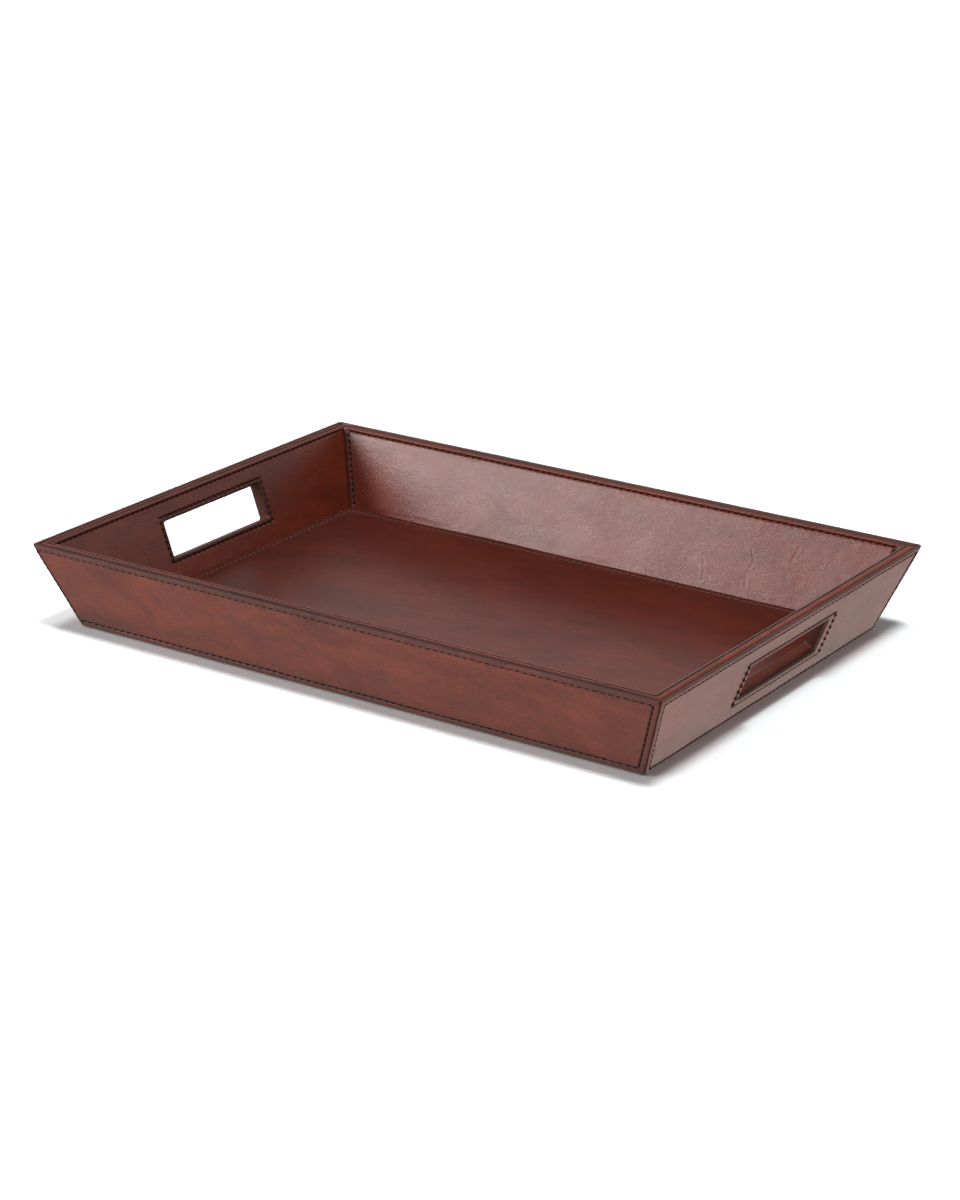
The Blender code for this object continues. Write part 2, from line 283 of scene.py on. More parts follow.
# each face's leather is a copy of the chestnut one made lighter or darker for how that face is lit, painted
# light and shade: the rear inside one lighter under its highlight, the outer ends lighter for their pale
# sheen, the inner ends darker in their shade
leathers = {
    ("long", "outer"): leatherMaterial(
        "frontLeather", chestnut, dark=(0.12, 0.0188, 0.008), light=(0.23, 0.038, 0.015), specular=0.4,
        sewnShare=0.9),
    ("long", "inner"): leatherMaterial(
        "rearInsideLeather", chestnut, dark=(0.162, 0.0258, 0.0122), light=(0.215, 0.035, 0.0162),
        warm=(0.235, 0.039, 0.0178), grain=960.0, grainHeight=0.00034, pitShare=0.6, smokeShare=0.3,
        sewnShare=0.25, wornDull=0.12, gloss=0.28, specular=0.34),
    ("end", "outer"): leatherMaterial(
        "endLeather", endLook, dark=(0.205, 0.031, 0.0098), light=(0.282, 0.044, 0.014),
        warm=(0.29, 0.0465, 0.015), smokeShare=0.22, sewnShare=0.85, specular=0.62),
    ("end", "inner"): leatherMaterial(
        "endInsideLeather", endLook, dark=(0.119, 0.0186, 0.0075), light=(0.198, 0.0312, 0.012),
        warm=(0.225, 0.0362, 0.0132), sewnShare=0.3, wornDull=0.12, specular=0.42),
}
# the floor's leather is darker: painted shade for the little light that falls on it
floorLeather = leatherMaterial(
    "floorLeather", chestnut, dark=(0.067, 0.0092, 0.0034), light=(0.11, 0.0149, 0.0055),
    warm=(0.13, 0.0176, 0.0066), smoke=(0.066, 0.0115, 0.0062), smokeShare=0.35,
    burnished=(0.026, 0.0055, 0.0035), specular=0.26, gloss=0.27, wornDull=0.22, softHeight=0.00008,
    grainHeight=0.00005, pitShare=0.12)
stripLeather = leatherMaterial(
    "rimStripLeather", chestnut, dark=(0.085, 0.0145, 0.007), light=(0.165, 0.029, 0.013), specular=0.24,
    gloss=0.46)
liningLeather = leatherMaterial(
    "holeLiningLeather", chestnut, dark=(0.05, 0.0088, 0.0046), light=(0.09, 0.0158, 0.0078), gloss=0.58,
    specular=0.2)


def fibreMaterial(name, dark, light, dull=0.8, specular=0.2, scales=(1500.0, 2.0, 0.6), ramp=(0.35, 0.65),
                  relief=0.5):
    # thread, unless other values are given
    material, tree, sockets = newMaterial(name, {"Roughness": dull, "Specular IOR Level": specular})
    fibres = tree.noise(*scales)
    tree.feed(sockets["Base Color"], tree.blend(tree.spread(fibres, *ramp), dark, light))
    tree.feed(sockets["Normal"], tree.bump(fibres, relief, 0.0001))
    return material


def suedeMaterial():
    material, tree, sockets = newMaterial("undersideSuede", {
        "Roughness": 0.95, "Sheen Weight": 0.35, "Sheen Roughness": 0.5})
    nap = tree.noise(700.0, 5.0, 0.7)
    brush = tree.noise(26.0, 3.0, 0.5, 1.2)
    colour = tree.blend(tree.spread(brush, 0.35, 0.65), (0.07, 0.036, 0.025), (0.115, 0.062, 0.044))
    colour = tree.blend(tree.spread(nap, 0.3, 0.7, 0.0, 0.5), colour, (0.15, 0.085, 0.062))
    tree.feed(sockets["Base Color"], colour)
    tree.feed(sockets["Normal"], tree.bump(nap, 0.6, 0.0003))
    return material


thread = fibreMaterial("waxedThread", (0.005, 0.0025, 0.002), (0.016, 0.0075, 0.0055))
wornThread = fibreMaterial("wornThread", (0.011, 0.0048, 0.0034), (0.034, 0.0145, 0.01))
floorThread = fibreMaterial("floorThread", (0.06, 0.0215, 0.0145), (0.12, 0.049, 0.034))
stainedBoard = fibreMaterial(
    "stainedBoard", (0.045, 0.028, 0.02), (0.085, 0.052, 0.036), dull=0.85, specular=0.5,
    scales=(900.0, 4.0, 0.7), ramp=(0.0, 1.0), relief=0.4)
suede = suedeMaterial()
print("materials made")


# shapes pressed into leather
def ripple(x, y, wavelength, seed, waves=9):
    dice = np.random.default_rng(seed)
    total = np.zeros_like(x)
    for step in range(waves):
        angle = dice.uniform(0.0, math.tau)
        length = wavelength * dice.uniform(0.6, 1.7)
        phase = dice.uniform(0.0, math.tau)
        total += np.sin(math.tau / length * (x * math.cos(angle) + y * math.sin(angle)) + phase)
    return total / math.sqrt(waves)


def bell(distance, width):
    return np.exp(-(distance / width) ** 2)


def fading(share, away, softness):
    return share / (1.0 + np.exp(away / softness))


def segmentDistance(x, y, start, end):
    ax, ay = start
    bx, by = end[0] - ax, end[1] - ay
    share = np.clip(((x - ax) * bx + (y - ay) * by) / (bx * bx + by * by), 0.0, 1.0)
    return np.hypot(x - ax - share * bx, y - ay - share * by), share


def quarterDrop(distance, radius, drop):
    reach = np.clip(1.0 - distance / radius, 0.0, 1.0)
    return -drop * (1.0 - np.sqrt(1.0 - reach ** 2))


def softLeast(values, blend):
    # the least of some values, rounded off where two are alike
    return -blend * np.log(sum(np.exp(-np.clip(value, -1.0, 30.0 * blend) / blend) for value in values))


def slotDistance(x, y, slot):
    # distance outside a slot with rounded corners, less than zero inside it
    qx = np.abs(x - slot["shift"]) - slot["halfLength"] + slot["corner"]
    qy = np.abs(y - slot["middle"]) - slot["halfHeight"] + slot["corner"]
    outside = np.hypot(np.maximum(qx, 0.0), np.maximum(qy, 0.0))
    return outside + np.minimum(np.maximum(qx, qy), 0.0) - slot["corner"]


def stitchCount(start, end, pitch):
    return max(1, round(math.dist(start, end) / pitch))


def rowSide(start, end, pitch, weight=1.2, slant=9.0, share=0.66):
    # one side of a row: weight, slant and share are the outer panels' unless given
    return {"start": start, "end": end, "pitch": pitch, "weight": weight, "slant": slant, "share": share}


def rowField(x, y, sides):
    # how rows draw the leather in, and how dark its seam is
    dips, lips, shade = np.zeros((3, *x.shape))
    for side in sides:
        distance, share = segmentDistance(x, y, side["start"], side["end"])
        turns = math.tau * stitchCount(side["start"], side["end"], side["pitch"])
        holes = 0.5 + 0.5 * np.cos(turns * share)
        dip = press["dip"] * bell(distance, press["dipWidth"])
        dip = dip + press["pucker"] * holes * bell(distance, press["puckerWidth"])
        dips = np.maximum(dips, dip)
        lip = bell(distance - press["lipAt"], press["lipWidth"])
        lips = np.maximum(lips, lip * (1.0 - 0.5 * holes))
        shade = np.maximum(shade, bell(distance, press["seamWidth"]))
    return press["lip"] * lips - dips, shade


def borderRoll(reach):
    # a low flat swelling: reach is 0 at the leather's edge and 1 at its row
    return np.clip(1.0 - np.abs(2.0 * reach - 1.0) ** 3, 0.0, 1.0)


def creaseField(x, y, creases):
    total = np.zeros_like(x)
    for points, depth, width in creases:
        near = np.full_like(x, 1.0)
        for start, end in zip(points[:-1], points[1:]):
            near = np.minimum(near, segmentDistance(x, y, start, end)[0])
        # the leather stands up a little on both sides of a crease
        total += depth * (1.2 * bell(near - 1.6 * width, 1.3 * width) - 1.8 * bell(near, width))
    return total


# meshes
def makeMesh(name, points, faces, attributes, sharp=50.0):
    mesh = bpy.data.meshes.new(name)
    mesh.from_pydata(points.tolist(), [], faces)
    for key, values in attributes.items():
        layer = mesh.attributes.new(key, "FLOAT", "POINT")
        layer.data.foreach_set("value", np.asarray(values, np.float32))
    mesh.update()
    shadeMesh(mesh, sharp)
    return mesh


def shadeMesh(mesh, sharp):
    # its faces point out, and edges sharper than this many degrees stay sharp
    shape = bmesh.new()
    shape.from_mesh(mesh)
    bmesh.ops.recalc_face_normals(shape, faces=shape.faces)
    shape.to_mesh(mesh)
    shape.free()
    mesh.shade_smooth()
    mesh.set_sharp_from_angle(angle=math.radians(sharp))


def newObject(name, data):
    made = bpy.data.objects.new(name, data)
    bpy.context.scene.collection.objects.link(made)
    return made


def addPiece(name, mesh, material, nodes):
    piece = newObject(name, mesh)
    mesh.materials.clear()
    mesh.materials.append(material)
    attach(piece, "root")
    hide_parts(*nodes)
    return piece


def placed(points, place):
    return points @ np.array(place.to_3x3()).T + np.array(place.translation)


def bandFaces(outer, inner, count):
    return [(outer + i, outer + (i + 1) % count, inner + (i + 1) % count, inner + i) for i in range(count)]


def sideLoop(corners, counts):
    points = []
    for index, count in enumerate(counts):
        start = np.array(corners[index])
        end = np.array(corners[(index + 1) % 4])
        share = np.arange(count)[:, None] / count
        points.append(start + (end - start) * share)
    return np.concatenate(points)


def slotLoop(slot, counts):
    # points round a slot, from its lower left corner, so many on each side
    radius = slot["corner"]
    straight = (slot["halfLength"] - radius, slot["halfHeight"] - radius)
    signs = ((-1, -1), (1, -1), (1, 1), (-1, 1))
    arc = math.pi / 4 * radius
    points = []
    for side, count in enumerate(counts):
        facing = -math.pi / 2 + side * math.pi / 2
        start = np.array([sign * half for sign, half in zip(signs[side], straight)])
        along = np.array((math.cos(facing + math.pi / 2), math.sin(facing + math.pi / 2)))
        length = 2 * straight[side % 2]
        for step in range(count):
            gone = (length + 2 * arc) * step / count - arc
            turn = min(gone, 0.0) / radius + max(gone - length, 0.0) / radius
            outward = np.array((math.cos(facing + turn), math.sin(facing + turn)))
            points.append(start + along * min(max(gone, 0.0), length) + radius * outward)
    return np.array(points) + np.array((slot["shift"], slot["middle"]))


# loops of points round a hand hole: how far outside its row, then how many from the row in to the hole
holeLoops = dict(
    outside=(0.0032, 0.0024, 0.0018, 0.0014, 0.001, 0.0007, 0.0004, 0.0002),
    inside=16,
    spokes=12,
)

# loops of points along a panel's border: how far each lies in from its edge
borderInsets = [0.0, 0.00008, 0.00025] + [0.0005 + 0.00036 * step for step in range(17)] + [0.0068, 0.0078]


def holeRings(slot, row, counts):
    grown = ("halfLength", "halfHeight", "corner")
    slots = [dict(row, **{key: row[key] + by for key in grown}) for by in holeLoops["outside"]]
    for step in range(holeLoops["inside"] + 1):
        share = (1.0 - math.cos(math.pi * step / holeLoops["inside"])) / 2.0
        slots.append({key: row[key] * (1.0 - share) + slot[key] * share for key in row})
    return [slotLoop(each, counts) for each in slots]


def gridFaces(loop, counts, last, firstNew):
    # fills the innermost loop with a grid, and gives its new points
    nx, ny = counts
    foot = loop[:nx + 1]
    rim = np.vstack((loop[nx + ny:2 * nx + ny], loop[2 * nx + ny]))[::-1]
    index = np.zeros((ny + 1, nx + 1), int)
    index[0, :] = last + np.arange(nx + 1)
    index[:, nx] = last + nx + np.arange(ny + 1)
    index[ny, ::-1] = last + nx + ny + np.arange(nx + 1)
    index[1:, 0] = last + len(loop) - np.arange(1, ny + 1)
    index[1:ny, 1:nx] = firstNew + np.arange((ny - 1) * (nx - 1)).reshape(ny - 1, nx - 1)
    share = (np.arange(1, ny) / ny)[:, None, None]
    inside = foot[None, 1:-1] * (1 - share) + rim[None, 1:-1] * share
    corners = (index[:-1, :-1], index[:-1, 1:], index[1:, 1:], index[1:, :-1])
    faces = [tuple(face) for face in np.stack(corners, axis=-1).reshape(-1, 4).tolist()]
    return inside.reshape(-1, 2), faces


def sheetMesh(name, cornersAt, fieldAt, levelAt, thickness, counts, insets, hole, finish, cutEdge=1.0,
              slideAt=None):
    # cornersAt(inset, e): outline at depth e into the leather; levelAt(e, field): that depth's level
    total = 2 * (counts[0] + counts[1])
    sideCounts = (counts[0], counts[1], counts[0], counts[1])
    loops = [sideLoop(cornersAt(0.0, thickness), sideCounts)]
    loops += [sideLoop(cornersAt(inset, 0.0), sideCounts) for inset in insets]
    if hole:
        rings = holeRings(*hole, sideCounts)
        outermost = loops[-1]
        shares = np.arange(1, holeLoops["spokes"]) / holeLoops["spokes"]
        loops += [outermost * (1 - share) + rings[0] * share for share in shares]
        loops += rings + [rings[-1]]
    depths = [np.zeros(total) for loop in loops]
    depths[0] += thickness
    faces = []
    for index in range(len(loops) - 1):
        faces += bandFaces(index * total, (index + 1) * total, total)
    last = (len(loops) - 1) * total
    if hole:
        depths[-1] += thickness
        faces += bandFaces(last, 0, total)
    else:
        faces.append(tuple(range(total)))
        inside, grid = gridFaces(loops[-1], counts, last, last + total)
        faces += grid
        loops.append(inside)
        depths.append(np.zeros(len(inside)))
    flat = np.vstack(loops)
    depths = np.concatenate(depths)
    field, attributes = fieldAt(*flat.T)
    field = np.where(depths > 0.0, 0.0, field)
    if slideAt:
        flat = flat + slideAt(*flat.T, np.minimum(field, 0.0))
    points = np.column_stack((flat, levelAt(depths, field)))
    attributes["raw"] = np.where(depths > 0.0, cutEdge, 0.0)
    return makeMesh(name, finish(points), faces, attributes)


# leather panels
panelLook = dict(
    edge=(0.0011, 0.0009),  # radius of its round, and how far the leather drops there
    corner=(0.0026, 0.0013),
    tip=(0.0016, 0.0006),  # how much more at the rim
    tipHeight=0.005,
    innerRim=(0.0007, 0.0007), innerCorner=(0.0001, 0.0001),
    wave=0.00014, waveLength=0.06,
    waveUp=0.6,  # less than 1: the waves are longer up the wall
    smallWave=0.00002, smallWaveLength=0.014,
    waveFade=0.006,  # from here in the waves are whole
    rollBlend=0.12,
    slideWidth=0.002,
    columnStep=0.00108,
    rowStep=0.0012,
)

# burnishing along a panel's edges, and painted shade on the outer border band, beside the inner corners and
# in the rear inner leather's corner by the left wall: share, place where it needs one, and width or softness
panelShades = dict(
    edge=0.0011,
    band=0.06,
    rim=0.0005,
    foot=(0.5, 0.0008),
    end=(0.12, 0.0015),
    hole=(0.9, 0.0002, 0.0003),
    corner=(0.8, 0.0004),
    rearPaintedShade=(0.5, 0.01, 0.26, 0.003),
)

# how dark the cut edge of each wall's leather is at the rim: burnishing, kept lighter on the rear and left
# walls as painted light where their rolled edge catches it
cutEdges = {"front": 1.0, "right": 1.0, "rear": 0.6, "left": 0.55, "inner": 0.25}

# how dark the inner leather is along the rim: burnishing, and painted shade where it is darkest, on the
# right and left walls
innerRims = {"front": 0.2, "right": 1.0, "rear": 0.45, "left": 0.85}

# creases in the rear wall's inner leather, in its own frame: points, depth and width
rearCreases = (
    (((-0.1205, 0.038), (-0.1245, 0.029), (-0.1208, 0.02), (-0.1222, 0.0105)), 0.00004, 0.001),
    (((-0.085, 0.026), (-0.0886, 0.013), (-0.088, 0.008)), 0.00004, 0.001),
    (((-0.156, 0.047), (-0.152, 0.033)), 0.00004, 0.001),
)


def rowInsets(wall, face):
    # insets of a panel's rows at its rim, foot, left end and right end, None where it has no row
    if face == "outer":
        left = "wrappedCorner" if wall == "front" else "outerCorner"
        foot = "endFoot" if wall in endWalls else "outerFoot"
        return rows["outerRim"], rows[foot], rows[left], rows["outerCorner"]
    corner = None if wall in endWalls else rows["innerCorner"]
    return rows["innerRim"], None, corner, corner


# stitches of the rows along the inner rims: weight, slant and share of their pitch
innerRimRows = dict.fromkeys(walls, (1.25, 26.0, 0.64)) | {"left": (0.95, 12.0, 0.6)}


def panelSides(wall, face):
    # the rows of stitches on a panel, in the wall's frame
    depth = faceDepth[face]
    rim, foot, left, right = rowInsets(wall, face)
    high = slopeOf(tray["height"], depth) - rim
    if foot:
        low = slopeOf(tray["footReveal"], depth) + foot
    else:
        low = slopeOf(floorTop, depth) + rows["innerCornerEnd"]

    def corner(sign, slope, inset):
        return sign * (runOf(wall, slope, depth) - (inset or rows["innerCorner"]) * endFactor), slope

    corners = [corner(-1, low, left), corner(1, low, right), corner(1, high, right), corner(-1, high, left)]
    stitches = innerRimRows[wall] if face == "inner" else ()
    sides = [rowSide(corners[3], corners[2], rows["pitch"], *stitches)]
    if foot:
        sides.append(rowSide(corners[0], corners[1], rows["pitch"]))
    if left:
        sides.append(rowSide(corners[0], corners[3], rows["shortPitch"]))
        sides.append(rowSide(corners[1], corners[2], rows["shortPitch"]))
    return sides


def holeOf(wall, face):
    # its opening, its row and that row's stitches
    kind = "right" if (wall, face) == ("right", "outer") else "plain"
    return openings[kind], holeRows[kind], holeStitches[kind]


def holeSides(wall, face):
    row, (lengthwise, across) = holeOf(wall, face)[1:]
    low, high = row["middle"] - row["halfHeight"], row["middle"] + row["halfHeight"]
    start, end = row["shift"] - row["halfLength"], row["shift"] + row["halfLength"]
    sides = [rowSide((start, y), (end, y), rows["pitch"], *lengthwise) for y in (low, high)]
    return sides + [rowSide((x, low), (x, high), rows["shortPitch"], *across) for x in (start, end)]


def panelField(wall, face, sides, x, y):
    # how far the leather stands off its flat face, and its shades
    depth = faceDepth[face]
    low, high = slopeOf(faceFoot[face], depth), slopeOf(tray["height"], depth)
    look, shades = panelLook, panelShades
    seed = sorted(walls).index(wall) * 10 + (3 if face == "outer" else 7)
    half = runOf(wall, y, depth) - cornerGap
    edges = (high - y, y - low, (x + half) / endFactor, (half - x) / endFactor)
    ends = np.minimum(edges[2], edges[3])
    if face == "outer":
        drop = quarterDrop(np.minimum(edges[0], edges[1]), *look["edge"])
        tip = bell(np.maximum(edges[0], 0.0), look["tipHeight"])
        corner = (plain + more * tip for plain, more in zip(look["corner"], look["tip"]))
        drop = np.minimum(drop, quarterDrop(ends, *corner))
    else:
        drop = quarterDrop(edges[0], *look["innerRim"])
        drop += quarterDrop(np.minimum(edges[1], ends), *look["innerCorner"])
    near = np.minimum(np.minimum(edges[0], edges[1]), ends)
    insets = rowInsets(wall, face)
    reach = softLeast([edge / inset for edge, inset in zip(edges, insets) if inset], look["rollBlend"])
    roll = borderRoll(reach)
    if wall in endWalls:
        opening, row = holeOf(wall, face)[:2]
        away = slotDistance(x, y, opening)
        drop = np.minimum(drop, quarterDrop(away, *look["edge"]))
        toRow = np.maximum(-slotDistance(x, y, row), 0.0)
        roll = np.maximum(roll, borderRoll(away / np.maximum(away + toRow, 0.00001)))
        near = np.minimum(near, away)
    wave = look["wave"] * ripple(x, y * look["waveUp"], look["waveLength"], seed)
    wave += look["smallWave"] * ripple(x, y, look["smallWaveLength"], seed + 1)
    swell = press["roll"]["inner" if face == "inner" else "end" if wall in endWalls else "long"]
    inside = np.clip(near / look["waveFade"], 0.0, 1.0) ** 2
    drawn, seam = rowField(x, y, sides)
    height = drop + swell * roll + drawn + wave * inside
    if (wall, face) == ("rear", "inner"):
        height += creaseField(x, y, rearCreases)
    if face == "outer":
        # burnishing at the cut edges, and painted shade on the border band between the row and the edge
        parts = [cutEdges[wall] * bell(np.maximum(near, 0.0), shades["edge"]),
                 fading(press["bandShade"], reach - 1.0, shades["band"])]
    else:
        parts = [innerRims[wall] * np.exp(-np.maximum(edges[0], 0.0) / shades["rim"])]
        for (share, width), distance in ((shades["foot"], edges[1]), (shades["end"], ends)):
            parts.append(share * np.exp(-np.maximum(distance, 0.0) / width))
        if wall in endWalls:
            share, start, softness = shades["hole"]
            parts.append(fading(share, start - toRow, softness))
        else:
            # painted shade beside the inner corners
            share, softness = shades["corner"]
            parts.append(fading(share, ends - rows["innerCorner"], softness))
        # painted shade where the rear inner leather meets the left wall, wider towards the foot
        if wall == "rear":
            share, start, slant, softness = shades["rearPaintedShade"]
            start = start + slant * np.maximum(edges[0], 0.0)
            parts.append(fading(share, edges[3] - start, softness))
    return height, {"edge": np.maximum.reduce(parts), "seam": seam}


def makePanel(wall, face):
    base, way = faceDepth[face], wayOut[face]
    sides = panelSides(wall, face) + (holeSides(wall, face) if wall in endWalls else [])
    place = wallMatrix(wall)
    rim = slopeOf(tray["height"], base)

    def cornersAt(inset, e):
        depth = base + way * e
        low = slopeOf(faceFoot[face], depth) + inset
        high = slopeOf(tray["height"], depth) - inset
        lowRun = runOf(wall, low, depth) - cornerGap - inset * endFactor
        highRun = runOf(wall, high, depth) - cornerGap - inset * endFactor
        return [(-lowRun, low), (lowRun, low), (highRun, high), (-highRun, high)]

    def slideAt(x, y, sink):
        # leather that sinks keeps to the mitre at a corner, and level with the rim's top
        near = np.maximum(runOf(wall, y, base) - cornerGap - np.abs(x), 0.0)
        down = way * sink * tanFlare * bell(np.maximum(rim - y, 0.0), panelLook["slideWidth"])
        inward = way * sink * cosFlare + down * sinFlare
        return np.column_stack((np.sign(x) * inward * bell(near, panelLook["slideWidth"]), down))

    def field(x, y):
        return panelField(wall, face, sides, x, y)

    corners = cornersAt(0.0, 0.0)
    counts = (round(2 * corners[1][0] / panelLook["columnStep"]),
              round((corners[2][1] - corners[1][1]) / panelLook["rowStep"]))
    mesh = sheetMesh(
        wall + face.capitalize() + "Leather", cornersAt, field,
        lambda e, height: way * (height - e) - base,
        tray[face + "Leather"], counts, borderInsets,
        holeOf(wall, face)[:2] if wall in endWalls else None,
        lambda points: placed(points, place),
        cutEdges[wall if face == "outer" else "inner"], slideAt)
    leather = leathers["end" if wall in endWalls else "long", face]
    addPiece(mesh.name, mesh, leather, [f"{wall}_{face}_leather"])
    return field


fields = {}
for wall in walls:
    for face in ("outer", "inner"):
        fields[wall, face] = makePanel(wall, face)
print("panels made")


# floor leather: it turns up a little where it meets the walls
floorLook = dict(
    turnUp=0.0005, turnWidth=0.006,
    wave=0.00014, waveLength=0.085,
    crown=0.0003,
    waveFade=0.012,
    step=0.0019,
    stitches=(1.7, 22.0, 0.66),
    edgeShade=0.0016,
    # shades: painted shade along the floor's border where it turns up to the walls, and wider near the left
    # and rear walls: share and width
    shades=((0.55, 0.0055), (0.62, 0.095)),  # along its border, and near the left and rear walls
)

# where the rear edge stands higher or lower than that: place along it, height and width
floorSwells = ((-0.08, 0.0005, 0.035), (0.135, -0.0003, 0.04), (-0.14, -0.0002, 0.02))


def floorHalf(height):
    out = height * tanFlare - wallDepth / cosFlare - tray["gap"]
    return footLength + out, footWidth + out


def floorSides():
    corners = boxCorners(*(half - rows["floor"] for half in floorHalf(floorTop)))
    ends = corners[1:] + corners[:1]
    return [rowSide(start, end, rows["pitch"], *floorLook["stitches"]) for start, end in zip(corners, ends)]


def floorField(x, y):
    a, b = floorHalf(floorTop)
    near = np.minimum(a - np.abs(x), b - np.abs(y))
    rise = np.full_like(x, floorLook["turnUp"])
    for middle, height, width in floorSwells:
        rise += height * bell(x - middle, width) * (y > 0.0)
    turn = np.clip(1.0 - near / floorLook["turnWidth"], 0.0, 1.0) ** 2
    inside = np.clip(near / floorLook["waveFade"], 0.0, 1.0) ** 2
    drawn, seam = rowField(x, y, floorSides())
    height = rise * turn + drawn
    height += inside * (floorLook["wave"] * ripple(x, y, floorLook["waveLength"], 5) + floorLook["crown"])
    # darker at its very edge, and painted shade along its border and near the left and rear walls
    edge = np.exp(-np.maximum(near, 0.0) / floorLook["edgeShade"])
    for (share, width), distance in zip(floorLook["shades"], (near, np.minimum(a + x, b - y))):
        edge = np.maximum(edge, share * bell(distance, width))
    return height, {"edge": edge, "seam": seam}


def makeFloor():
    def cornersAt(inset, e):
        return boxCorners(*(half - inset for half in floorHalf(floorTop - e)))

    def followWalls(points):
        a, b = floorHalf(floorTop)
        lean = np.maximum(points[:, 2] - floorTop, 0.0) * tanFlare
        points[:, 0] *= 1.0 + lean / a
        points[:, 1] *= 1.0 + lean / b
        return points

    a, b = floorHalf(floorTop)
    counts = (round(2 * a / floorLook["step"]), round(2 * b / floorLook["step"]))
    mesh = sheetMesh("floorLeather", cornersAt, floorField, lambda e, height: floorTop - e + height,
                     floorTop - floorFoot, counts, borderInsets, None, followWalls)
    addPiece("floorLeather", mesh, floorLeather, ["floor_leather"])


makeFloor()
print("floor made")


# rim strips: a domed strip between the two leathers, mitred at its ends
stripLook = dict(
    clear=0.0002,  # how far its foot lies below its sunk side, at least
    outerSink=0.0022, outerShare=0.42,
    innerSink=0.0008, innerShare=0.28,
    crown=0.0002,
    tipSink=0.0009, tipLength=0.005,
    stations=200,
    across=22,
    wave=0.00012, waveLength=0.026,
    innerBurnish=(0.6, 0.08),  # share at the inner side, and how far in it goes
)

# how dark each strip is from its outer side, burnishing and painted shade set for how each wall's strip is
# lit: share, how far across, and how softly that ends
stripBurnishAndShade = dict(
    front=(1.0, 0.4, 0.07),
    right=(0.9, 0.03, 0.03),
    rear=(0.72, 1.0, 0.12),
    left=(0.8, 0.42, -0.12),  # less than zero: the inner side is dark
)


def stripSection(foot):
    # its outline from the outer leather's side to the inner one's
    section = [(boardOuter, foot)]
    for step in range(stripLook["across"] + 1):
        share = (1.0 - math.cos(math.pi * step / stripLook["across"])) / 2.0
        sink = 0.0
        for side, across in (("outer", share), ("inner", 1.0 - share)):
            away = max(1.0 - across / stripLook[side + "Share"], 0.0)
            sink += stripLook[side + "Sink"] * (1.0 - math.sqrt(1.0 - away ** 2))
        height = tray["height"] - sink + stripLook["crown"] * math.sin(math.pi * share)
        section.append((boardOuter + (boardInner - boardOuter) * share, height))
    section.append((boardInner, foot))
    return section


def makeStrip(wall):
    foot = tray["height"] - stripLook["outerSink"] - stripLook["clear"]
    foot = min(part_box(wall + "_rim_strip")[0].z, foot)
    section = stripSection(foot)
    count = len(section)
    seed = sorted(walls).index(wall) + 50
    points = []
    for station in range(stripLook["stations"] + 1):
        # stations lie closer together near the ends
        along = math.sin(math.pi / 2 * (-1.0 + 2.0 * station / stripLook["stations"]))
        fromEnd = (1.0 - abs(along)) * walls[wall][1]
        sink = stripLook["tipSink"] * math.exp(-(fromEnd / stripLook["tipLength"]) ** 2)
        for depth, height in section:
            outer = 1.0 - (depth - boardOuter) / (boardInner - boardOuter)
            slope = max(slopeOf(height, depth) - sink * outer, slopeOf(foot, depth))
            points.append((along * (runOf(wall, slope, depth) - cornerGap), slope, -depth))
    points = np.array(points)
    order = np.arange(len(points)) % count
    crest = np.sin(math.pi * np.clip(order - 1, 0, count - 3) / (count - 3))
    plain = np.zeros(len(points))
    waves = ripple(points[:, 0], plain, stripLook["waveLength"], seed)
    points[:, 1] += stripLook["wave"] * crest * waves
    faces = []
    for station in range(stripLook["stations"]):
        faces += bandFaces(station * count, (station + 1) * count, count)
    faces.append(tuple(range(count)))
    faces.append(tuple(stripLook["stations"] * count + i for i in range(count)))
    burnish = np.array([depth for depth, height in section])[order]
    burnish = (burnish - boardOuter) / (boardInner - boardOuter)
    # painted shade and burnishing from the outer side, and burnishing at the inner side
    share, until, softness = stripBurnishAndShade[wall]
    innerShare, width = stripLook["innerBurnish"]
    burnish = np.maximum(fading(share, burnish - until, softness),
                         innerShare * np.exp((burnish - 1.0) / width))
    attributes = {"edge": burnish, "seam": plain, "raw": plain}
    mesh = makeMesh(wall + "RimStrip", placed(points, wallMatrix(wall)), faces, attributes, 60.0)
    addPiece(mesh.name, mesh, stripLeather, [wall + "_rim_strip"])


for wall in walls:
    makeStrip(wall)
print("rim strips made")


# geometry nodes
def newGroup(name, floats, others=()):
    group = bpy.data.node_groups.new(name, "GeometryNodeTree")
    group.interface.new_socket("Geometry", in_out="OUTPUT", socket_type="NodeSocketGeometry")
    sockets = [("Geometry", "Geometry"), *((label, "Float") for label in floats), *others]
    for label, kind in sockets + [("Material", "Material")]:
        group.interface.new_socket(label, in_out="INPUT", socket_type="NodeSocket" + kind)
    tree = Tree(group)
    return group, tree, tree.add("NodeGroupInput").outputs


def endGroup(tree, made, material):
    made = tree.shape("RealizeInstances", {"Geometry": made})
    made = tree.shape("SetMaterial", {"Geometry": made, "Material": material})
    tree.add("NodeGroupOutput", {0: made})


def runGroup(name, mesh, group, values):
    # the group's result on this mesh, as a plain mesh
    carrier = newObject(name, mesh)
    modifier = carrier.modifiers.new(name, "NODES")
    modifier.node_group = group
    for item in group.interface.items_tree:
        if item.in_out == "INPUT" and item.name in values:
            modifier[item.identifier] = values[item.name]
    bpy.context.view_layer.update()
    made = carrier.evaluated_get(bpy.context.evaluated_depsgraph_get())
    result = bpy.data.meshes.new_from_object(made)
    bpy.data.objects.remove(carrier, do_unlink=True)
    result.name = name
    return result


# stitches: one slanted stitch between each two holes of a row
stitch = dict(
    thickness=0.0005,
    rise=0.0005,
    wobble=math.radians(5.0),
    sink=0.00012,
    dive=0.35,
    endGirth=0.5,
    uneven=0.06,
    points=7,
    sides=6,
)


